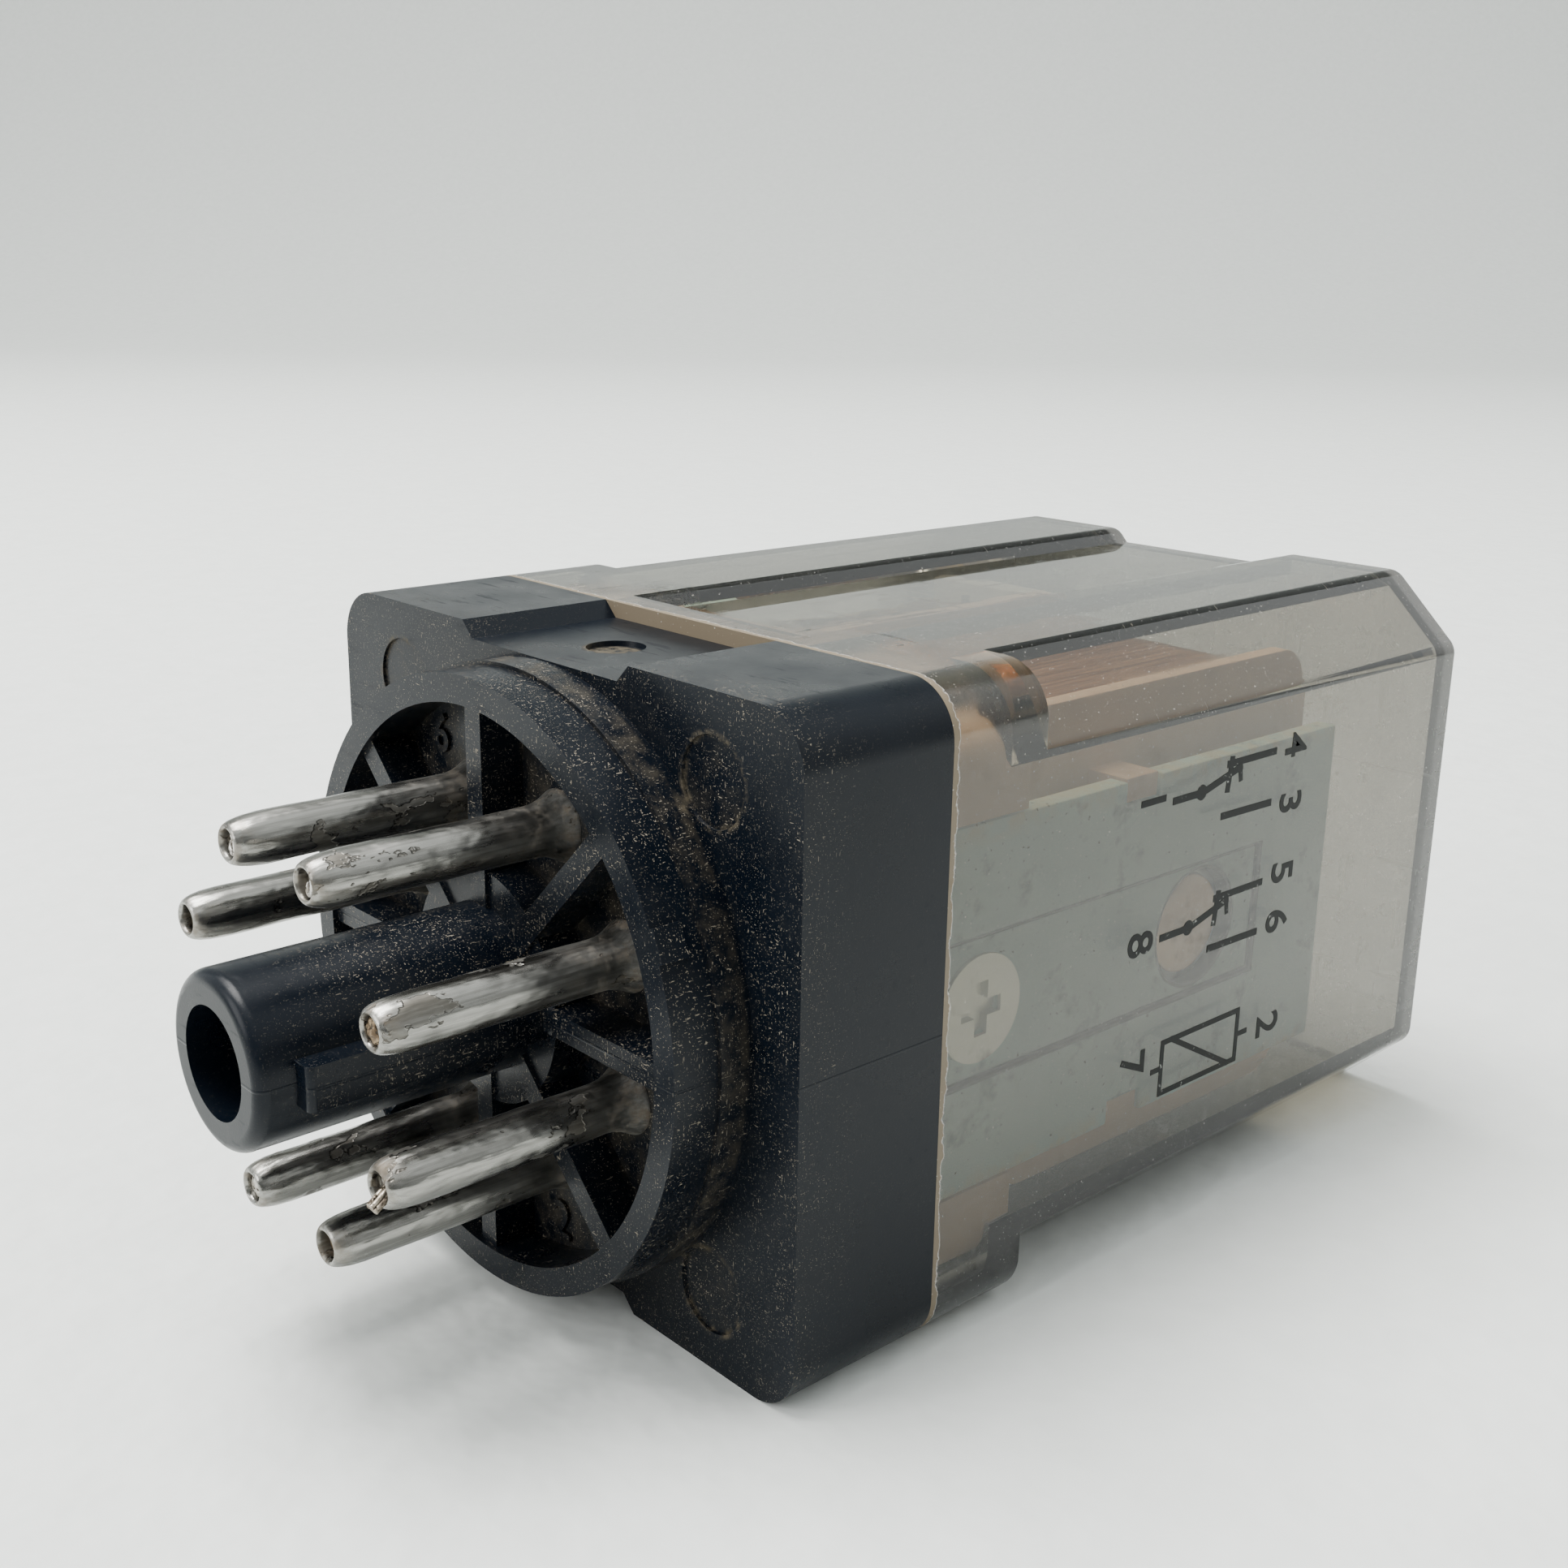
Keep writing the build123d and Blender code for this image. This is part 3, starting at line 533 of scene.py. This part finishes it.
def moulded_cover():
    """The cover's CAD mesh with its long edges, its far end's loop and its shoulders rounded outside.

    The label side is sunk a little, which leaves the print room inside the CAD box.
    """
    low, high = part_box("cover")
    middle = (low + high) / 2
    bm = merged_copy("cover")
    near = print_room = 0.02 * MM

    def outside(test):
        found = []
        for e in bm.edges:
            if len(e.link_faces) != 2 or not e.is_convex or e.calc_face_angle(0) < math.radians(20):
                continue
            a, b = (v.co for v in e.verts)
            facing = e.link_faces[0].normal + e.link_faces[1].normal
            if max(a.x, b.x) > low.x + near and facing.dot((a + b) / 2 - middle) > 0 and test(a, b):
                found.append(e)
        return found

    def along(a, b):
        return abs(b.x - a.x) > 3 * MM and abs(b.x - a.x) > 0.99 * (b - a).length

    round_off(bm, outside(along), 0.40, 3)
    round_off(bm, outside(lambda a, b: min(a.x, b.x) > high.x - near), 0.42, 3)
    round_off(bm, outside(lambda a, b: abs(b.x - a.x) < near and low.x + MM < a.x < high.x - 2 * MM), 0.15)
    for v in bm.verts:
        if v.co.y < low.y + near:
            v.co.y += print_room
    return with_even_normals(bm, "moulded_cover", 32.0)


def lathe_x(profile, y, z, sides, wobble, seed):
    """Closed ring of (x, r) points in millimetres turned about the line along X through (y, z)."""
    bm = bmesh.new()
    rows = []
    for x, r in profile:
        row = []
        for k in range(sides):
            a = 2 * math.pi * k / sides
            where = Vector((x * 0.55 + seed * 7.3, math.cos(a) * 0.9, math.sin(a) * 0.9 + seed))
            d = wobble * noise.noise(where)
            row.append(bm.verts.new(vec_mm(x, y + (r + d) * math.cos(a), z + (r + d) * math.sin(a))))
        rows.append(row)
    for i in range(len(rows)):
        a, b = rows[i], rows[(i + 1) % len(rows)]
        for k in range(sides):
            bm.faces.new((a[k], a[(k + 1) % sides], b[(k + 1) % sides], b[k]))
    bmesh.ops.recalc_face_normals(bm, faces=bm.faces)
    mesh = bpy.data.meshes.new("turned")
    bm.to_mesh(mesh)
    bm.free()
    smooth(mesh, 50.0)
    return mesh


def pin_axis(n):
    low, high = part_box(f"pin_{n}")
    return (low.y + high.y) / 2 / MM, (low.z + high.z) / 2 / MM


def tubular_pins(material):
    """Rolled tubes: rim turned in at the tip, uneven shank, trumpet foot on the pocket floor."""
    rng = random.Random(11)
    for n in range(1, 9):
        y, z = pin_axis(n)
        low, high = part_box(f"pin_{n}")
        tip, back = low.x / MM, high.x / MM
        foot = POCKET_FLOOR
        rim = 0.02 + 0.05 * rng.random()
        profile = [(tip + 1.0, 0.60), (tip + 0.35, 0.62), (tip + 0.12 + rim, 0.645), (tip + 0.03, 0.69),
                   (tip, 0.755), (tip + 0.02, 0.82), (tip + 0.10, 0.90), (tip + 0.26, 0.98),
                   (tip + 0.5, 1.05), (tip + 0.9, 1.115), (tip + 1.5, 1.15)]
        runs = 24
        for k in range(runs + 1):
            profile.append((tip + 1.9 + (foot - 1.6 - tip - 1.9) * k / runs, 1.155))
        profile += [(foot - 1.25, 1.18), (foot - 0.95, 1.24), (foot - 0.65, 1.34), (foot - 0.38, 1.46),
                    (foot - 0.15, 1.58), (foot - 0.05, 1.63), (foot - 0.01, 1.64), (foot - 0.01, 1.18),
                    (back - 0.02, 1.17), (back - 0.02, PIN_BORE_R), (tip + 1.2, PIN_BORE_R)]
        mesh = lathe_x(profile, y, z, 64, 0.045, n)
        piece(f"tubular_pin_{n}", mesh, material, stands_for=[f"pin_{n}"])


def plug_of_solder(bm, n, sunk, flat, lumps):
    """A lumpy dome in one tube's mouth: its centre sunk that far behind the tip, flattened along X."""
    y, z = pin_axis(n)
    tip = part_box(f"pin_{n}")[0].x / MM
    dome = bmesh.ops.create_uvsphere(bm, u_segments=32, v_segments=18, radius=0.62 * MM)
    for v in dome["verts"]:
        q = v.co / MM
        rough = 1.0 + lumps * noise.noise(q * 3.4 + Vector((n * 5.0, 0, 0)))
        side = min(rough, 1.0)
        v.co = vec_mm(tip + sunk + q.z * flat * rough, y + q.x * side, z + q.y * side)


def curl_of_solder(bm, n, start, turn, thick):
    """A worm of solder lying round the inside of the rim."""
    y, z = pin_axis(n)
    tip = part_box(f"pin_{n}")[0].x / MM
    rows, steps, sides = [], 22, 8
    for i in range(steps + 1):
        t = i / steps
        a = start + turn * t
        r = 0.60 - 0.34 * t
        fat = thick * (0.35 + math.sin(math.pi * min(1.0, t * 0.9 + 0.1)) * 0.75)
        hub = Vector((tip + 0.10 + 0.28 * t, y + r * math.cos(a), z + r * math.sin(a)))
        out = Vector((0, math.cos(a), math.sin(a)))
        rows.append([bm.verts.new((hub + (out * math.cos(k) + Vector((1, 0, 0)) * math.sin(k)) * fat) * MM)
                     for k in (2 * math.pi * j / sides for j in range(sides))])
    for r0, r1 in zip(rows, rows[1:]):
        for j in range(sides):
            bm.faces.new((r0[j], r0[(j + 1) % sides], r1[(j + 1) % sides], r1[j]))
    bm.faces.new(rows[0][::-1])
    bm.faces.new(rows[-1])


def finished_lumps(bm, name):
    """The mesh made of bm, which is freed."""
    bmesh.ops.recalc_face_normals(bm, faces=bm.faces)
    mesh = bpy.data.meshes.new(name)
    bm.to_mesh(mesh)
    bm.free()
    smooth(mesh, 60.0)
    return mesh


def pin_solder(bright, brown):
    """What closes each tube: sunk or domed solder, two with a curl, three corroded brown."""
    bm = bmesh.new()
    for n, sunk, flat, lumps in ((1, 0.62, 0.40, 0.2), (3, 0.42, 0.45, 0.10), (4, 0.60, 0.4, 0.2),
                                 (6, 0.60, 0.40, 0.2), (7, 0.66, 0.4, 0.2)):
        plug_of_solder(bm, n, sunk, flat, lumps)
    curl_of_solder(bm, 6, 2.2, 4.4, 0.12)
    curl_of_solder(bm, 7, 2.6, 3.6, 0.13)
    piece("pin_solder", finished_lumps(bm, "pin_solder"), bright, stands_for=["solder_joints"])
    bm = bmesh.new()
    for n, sunk, flat, lumps in ((8, 0.36, 0.5, 0.6), (2, 0.62, 0.35, 0.15), (5, 1.0, 0.45, 0.3)):
        plug_of_solder(bm, n, sunk, flat, lumps)
    piece("corroded_solder", finished_lumps(bm, "corroded_solder"), brown)


def cut_strands(material):
    """The cut end of a stranded wire standing out of one tube's tip."""
    y, z = pin_axis(1)
    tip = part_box("pin_1")[0].x / MM
    bm = bmesh.new()
    rng = random.Random(3)
    spacing = 0.23
    places = [(0.0, 0.0)] + [(spacing * math.cos(k * math.pi / 3), spacing * math.sin(k * math.pi / 3))
                             for k in range(6)]
    lean = Vector((-1.0, -0.30, -0.42)).normalized()
    for dy, dz in places:
        length = 0.50 + 0.22 * (0.5 + dz / 0.46) + 0.07 * rng.random()
        rod = bmesh.ops.create_cone(bm, cap_ends=True, segments=10, radius1=0.115 * MM,
                                    radius2=0.105 * MM, depth=1.0)
        turn = Vector((0, 0, 1)).rotation_difference(lean).to_matrix()
        root = Vector((tip + 0.55, y - 0.08 + dy, z - 0.15 + dz))
        for v in rod["verts"]:
            t = v.co.z + 0.5
            flat = Vector((v.co.x, v.co.y, 0)) / MM
            v.co = (root + turn @ (flat + Vector((0, 0, t * (0.55 + length))))) * MM
    piece("cut_strands", finished_lumps(bm, "cut_strands"), material)


# ---- winding ----------------------------------------------------------------------------------
class Geo:
    """A geometry tree being put together."""

    def __init__(self, name, inputs):
        self.tree = bpy.data.node_groups.new(name, "GeometryNodeTree")
        face = self.tree.interface
        face.new_socket("Geometry", in_out="INPUT", socket_type="NodeSocketGeometry")
        self.ids = {}
        for key, (kind, value) in inputs.items():
            s = face.new_socket(key, in_out="INPUT", socket_type=kind)
            if value is not None:
                s.default_value = value
            self.ids[key] = s.identifier
        face.new_socket("Geometry", in_out="OUTPUT", socket_type="NodeSocketGeometry")
        self.start = self.tree.nodes.new("NodeGroupInput")
        self.end = self.tree.nodes.new("NodeGroupOutput")

    def add(self, kind, values=None, **settings):
        node = self.tree.nodes.new(kind)
        for key, value in settings.items():
            setattr(node, key, value)
        for key, value in (values or {}).items():
            if isinstance(value, bpy.types.NodeSocket):
                self.tree.links.new(value, node.inputs[key])
            else:
                node.inputs[key].default_value = value
        return node

    def close(self, geometry, material):
        real = self.add("GeometryNodeRealizeInstances", {"Geometry": geometry})
        done = self.add("GeometryNodeSetMaterial", {"Geometry": real.outputs[0], "Material": material})
        self.tree.links.new(done.outputs[0], self.end.inputs[0])


def baked(tree, start_mesh, values, name):
    """The tree's result on start_mesh as a plain mesh."""
    obj = link(bpy.data.objects.new(name + "_start", start_mesh))
    mod = obj.modifiers.new("tree", "NODES")
    mod.node_group = tree.tree
    for key, value in values.items():
        mod[tree.ids[key]] = value
    bpy.context.view_layer.update()
    mesh = bpy.data.meshes.new_from_object(obj.evaluated_get(bpy.context.evaluated_depsgraph_get()))
    bpy.data.objects.remove(obj)
    mesh.name = name
    return mesh


def wound_coil(material):
    """The winding's outer layer, turn by turn, about the core's axis along Y."""
    low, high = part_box("winding")
    g = Geo("wound_turns", {"Width": ("NodeSocketFloat", 0.02), "Height": ("NodeSocketFloat", 0.02),
                            "Corner": ("NodeSocketFloat", 0.005), "Wire": ("NodeSocketFloat", 0.0001),
                            "Turns": ("NodeSocketInt", 40), "Length": ("NodeSocketFloat", 0.014)})
    i = g.start.outputs
    loop = g.add("GeometryNodeCurvePrimitiveQuadrilateral", {"Width": i["Width"], "Height": i["Height"]})
    bent = g.add("GeometryNodeFilletCurve", {"Curve": loop.outputs[0], "Radius": i["Corner"], "Count": 7},
                 mode="POLY")
    ring = g.add("GeometryNodeCurvePrimitiveCircle", {"Radius": i["Wire"], "Resolution": 8})
    turn = g.add("GeometryNodeCurveToMesh", {"Curve": bent.outputs[0], "Profile Curve": ring.outputs[0]})
    steps = g.add("ShaderNodeMath", {0: i["Turns"], 1: 1.0}, operation="SUBTRACT")
    gap = g.add("ShaderNodeMath", {0: i["Length"], 1: steps.outputs[0]}, operation="DIVIDE")
    step = g.add("ShaderNodeCombineXYZ", {"Z": gap.outputs[0]})
    line = g.add("GeometryNodeMeshLine", {"Count": i["Turns"], "Offset": step.outputs[0]})
    many = g.add("GeometryNodeInstanceOnPoints", {"Points": line.outputs[0], "Instance": turn.outputs[0]})
    g.close(many.outputs[0], material)
    wire = 0.12 * MM
    turns = 58
    size = high - low
    seedmesh = bpy.data.meshes.new("coil_seed")
    values = {"Width": size.x - 2 * wire, "Height": size.z - 2 * wire, "Corner": WINDING_CORNER * MM,
              "Wire": wire, "Turns": turns, "Length": size.y - 2 * wire}
    mesh = baked(g, seedmesh, values, "wound_coil")
    turn_over = Matrix.Rotation(math.radians(90), 4, "X")
    middle = (low + high) / 2
    mesh.transform(Matrix.Translation(Vector((middle.x, high.y - wire, middle.z))) @ turn_over)
    bm = bmesh.new()
    bm.from_mesh(mesh)
    bmesh.ops.recalc_face_normals(bm, faces=bm.faces)
    bm.to_mesh(mesh)
    bm.free()
    smooth(mesh, 60.0)
    piece("wound_coil", mesh, material, stands_for=["winding"])


# ---- print and moulded numbers ----------------------------------------------------------------
def stroke(bm, points, width, face_y, depth):
    """A printed line through (x, z) points in millimetres, standing on the plane y = face_y.

    Each part starts a little deeper than the last, so that no two faces lie in one plane.
    """
    for a, b in zip(points, points[1:]):
        face_y += 0.0004
        a, b = Vector(a), Vector(b)
        run = (b - a).normalized() * width / 2
        side = Vector((-run.y, run.x))
        corners = [a - run - side, b + run - side, b + run + side, a - run + side]
        front = [bm.verts.new(vec_mm(c.x, face_y, c.y)) for c in corners]
        back = [bm.verts.new(vec_mm(c.x, face_y + depth, c.y)) for c in corners]
        bm.faces.new(front)
        bm.faces.new(back[::-1])
        for k in range(4):
            bm.faces.new((front[k], back[k], back[(k + 1) % 4], front[(k + 1) % 4]))


def dot(bm, x, z, r, face_y, depth):
    """A round printed spot."""
    count = 20

    def ring_at(y):
        angles = [2 * math.pi * k / count for k in range(count)]
        return [bm.verts.new(vec_mm(x + r * math.cos(a), y, z + r * math.sin(a))) for a in angles]

    front = ring_at(face_y)
    bm.faces.new(front)
    back = ring_at(face_y + depth)
    bm.faces.new(back[::-1])
    for k in range(count):
        bm.faces.new((front[k], back[k], back[(k + 1) % count], front[(k + 1) % count]))


def numeral(text, height, place, basis, depth):
    """A digit as a solid mesh: basis is (reading direction, up direction, outward direction)."""
    curve = bpy.data.curves.new("digit", "FONT")
    curve.body, curve.size, curve.align_x, curve.align_y = text, height * 1.37 * MM, "CENTER", "CENTER"
    curve.extrude, curve.offset = depth * MM / 2, 0.00004
    obj = link(bpy.data.objects.new("digit", curve))
    bpy.context.view_layer.update()
    mesh = bpy.data.meshes.new_from_object(obj.evaluated_get(bpy.context.evaluated_depsgraph_get()))
    bpy.data.objects.remove(obj)
    spin = Matrix((basis[0], basis[1], basis[2])).transposed().to_4x4()
    mesh.transform(Matrix.Translation(vec_mm(*place)) @ spin)
    return mesh


def joined(name, meshes):
    """One mesh made of several."""
    bm = bmesh.new()
    for m in meshes:
        bm.from_mesh(m)
    bmesh.ops.recalc_face_normals(bm, faces=bm.faces)
    mesh = bpy.data.meshes.new(name)
    bm.to_mesh(mesh)
    bm.free()
    return mesh


def contact_diagram(material):
    """Contact and coil symbols with pin numbers on the cover's label side."""
    low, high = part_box("cover")
    left, mid = low.x / MM, (low.z + high.z) / 2 / MM
    face_y, depth = low.y / MM + 0.002, 0.03
    bm = bmesh.new()
    line = 0.38
    for x, z in ((0.0, 7.6), (-0.25, 0.7)):
        x += left
        z += mid
        stroke(bm, [(x + 15.7, z), (x + 17.9, z), (x + 20.9, z + 0.75)], line, face_y, depth)
        dot(bm, x + 17.8, z + 0.02, 0.40, face_y + 0.002, depth)
        stroke(bm, [(x + 20.87, z + 0.92), (x + 21.0, z + 0.15)], line * 0.8, face_y + 0.004, depth)
        stroke(bm, [(x + 20.15, z + 1.25), (x + 19.95, z - 0.2)], line, face_y + 0.006, depth)
        stroke(bm, [(x + 19.95, z + 1.07), (x + 23.8, z + 1.06)], line, face_y + 0.008, depth)
        stroke(bm, [(x + 19.75, z - 1.55), (x + 23.7, z - 1.62)], line, face_y, depth)
    z0, z1, x0, x1 = mid - 7.8, mid - 5.05, left + 16.2, left + 22.6
    box_line = 0.30
    stroke(bm, [(x0, z0), (x1, z0), (x1, z1), (x0, z1), (x0, z0)], box_line, face_y, depth)
    stroke(bm, [(x0 + 0.75, z1), (x1 - 0.7, z0)], box_line, face_y + 0.004, depth)
    for a, b in ((x0 - 0.7, x0), (x1, x1 + 0.8)):
        stroke(bm, [(a, (z0 + z1) / 2), (b, (z0 + z1) / 2)], box_line, face_y + 0.006, depth)
    lines = bpy.data.meshes.new("lines")
    bm.to_mesh(lines)
    bm.free()
    basis = (Vector((0, 0, -1)), Vector((1, 0, 0)), Vector((0, -1, 0)))
    digits = {"1": (13.9, 7.9), "8": (13.65, 0.8), "7": (13.7, -5.5), "4": (25.6, 8.7), "3": (25.55, 5.65),
              "5": (25.4, 1.9), "6": (25.3, -0.75), "2": (25.3, -6.6)}
    marks = [numeral(d, 1.95, (left + x, face_y + depth / 2, mid + z), basis, depth)
             for d, (x, z) in digits.items()]
    piece("contact_diagram", joined("contact_diagram", [lines] + marks), material)


def pocket_numbers(material):
    """Raised pin numbers, all upright, on the floors of the boss pockets beside their pins."""
    marks = []
    circle_r, height = 11.9, 1.9
    basis = (Vector((0, -1, 0)), Vector((0, 0, 1)), Vector((-1, 0, 0)))
    for n in range(1, 9):
        y, z = pin_axis(n)
        a = math.atan2(z, y)
        a -= math.copysign(math.radians(7.5), math.sin(a)) if abs(math.cos(a)) < 0.99 else 0.0
        place = (POCKET_FLOOR - 0.07, circle_r * math.cos(a), circle_r * math.sin(a))
        marks.append(numeral(str(n), height, place, basis, 0.2))
    piece("pocket_numbers", joined("pocket_numbers", marks), material)


# ---- everything -------------------------------------------------------------------------------
set_camera()
set_stage()
set_light()

black = black_moulding()
mint = moulded("mint_moulding", rgb(0.47, 0.62, 0.56), rgb(0.38, 0.53, 0.48), 0.42, 0.15)
beige = moulded("beige_moulding", rgb(0.66, 0.47, 0.33), rgb(0.54, 0.38, 0.26), 0.45, 0.15)
off_white = moulded("off_white_moulding", rgb(0.66, 0.63, 0.55), rgb(0.58, 0.55, 0.47), 0.4, 0.15)
steel = metal("plated_steel", rgb(0.60, 0.60, 0.58), rgb(0.45, 0.46, 0.46), 0.36)
screw_plate = metal("screw_plating", rgb(0.80, 0.81, 0.74), rgb(0.62, 0.63, 0.56), 0.42)
iron = metal("core_end", rgb(0.66, 0.50, 0.38), rgb(0.50, 0.37, 0.28), 0.42)
brass = metal("rolled_brass", rgb(0.78, 0.62, 0.34), rgb(0.62, 0.47, 0.24), 0.30)
bronze = metal("spring_bronze", rgb(0.76, 0.52, 0.32), rgb(0.60, 0.38, 0.22), 0.28)
silver = metal("contact_silver", rgb(0.82, 0.81, 0.78), rgb(0.66, 0.65, 0.62), 0.30)
tinned_wire = metal("tinned_wire", rgb(0.72, 0.70, 0.66), rgb(0.50, 0.46, 0.40), 0.35)

tubular_pins(tinned_tube())
pin_solder(solder_finish("bright_solder", rgb(0.62, 0.60, 0.57), rgb(0.30, 0.27, 0.23), 0.9),
           solder_finish("brown_solder", rgb(0.34, 0.25, 0.15), rgb(0.10, 0.065, 0.035), 0.5))
cut_strands(solder_finish("strand_copper", rgb(0.42, 0.37, 0.30), rgb(0.16, 0.13, 0.10), 0.8))
wound_coil(enamelled_wire())
contact_diagram(print_ink())
pocket_numbers(black)

piece("clear_cover", moulded_cover(), clear_cover_plastic(), stands_for=["cover"])
for n in range(1, 9):
    frame["nodes"][f"lead_{n}"].data.materials.clear()
    frame["nodes"][f"lead_{n}"].data.materials.append(tinned_wire)

body_of = {n: b for b, names in frame["record"]["behaviour"]["bodies"].items() for n in names}
rounded = {    # node: finish, edge rounding in millimetres
    "base": (black, 0.16), "spigot": (black, 0.09), "tray": (beige, 0.15),
    "front_panel": (panel_moulding(), 0.12), "panel_screw": (screw_plate, 0.06), "yoke": (steel, 0.15),
    "core": (iron, 0.2), "bobbin": (beige, 0.12), "coil_posts": (brass, 0.05),
    "contact_holder": (mint, 0.2), "armature": (steel, 0.15), "pusher_card": (off_white, 0.12),
    "fixed_contacts": (silver, 0.12),
}
for pole in ("a", "b"):
    rounded |= {f"{kind}_strip_{pole}": (brass, 0.06) for kind in ("open", "closed", "common")}
    rounded |= {f"moving_blade_{pole}": (bronze, 0.05), f"moving_contact_{pole}": (silver, 0.12)}
for node, (material, radius) in rounded.items():
    piece(node + "_finished", broken_edges(node, radius), material, body_of[node], [node])
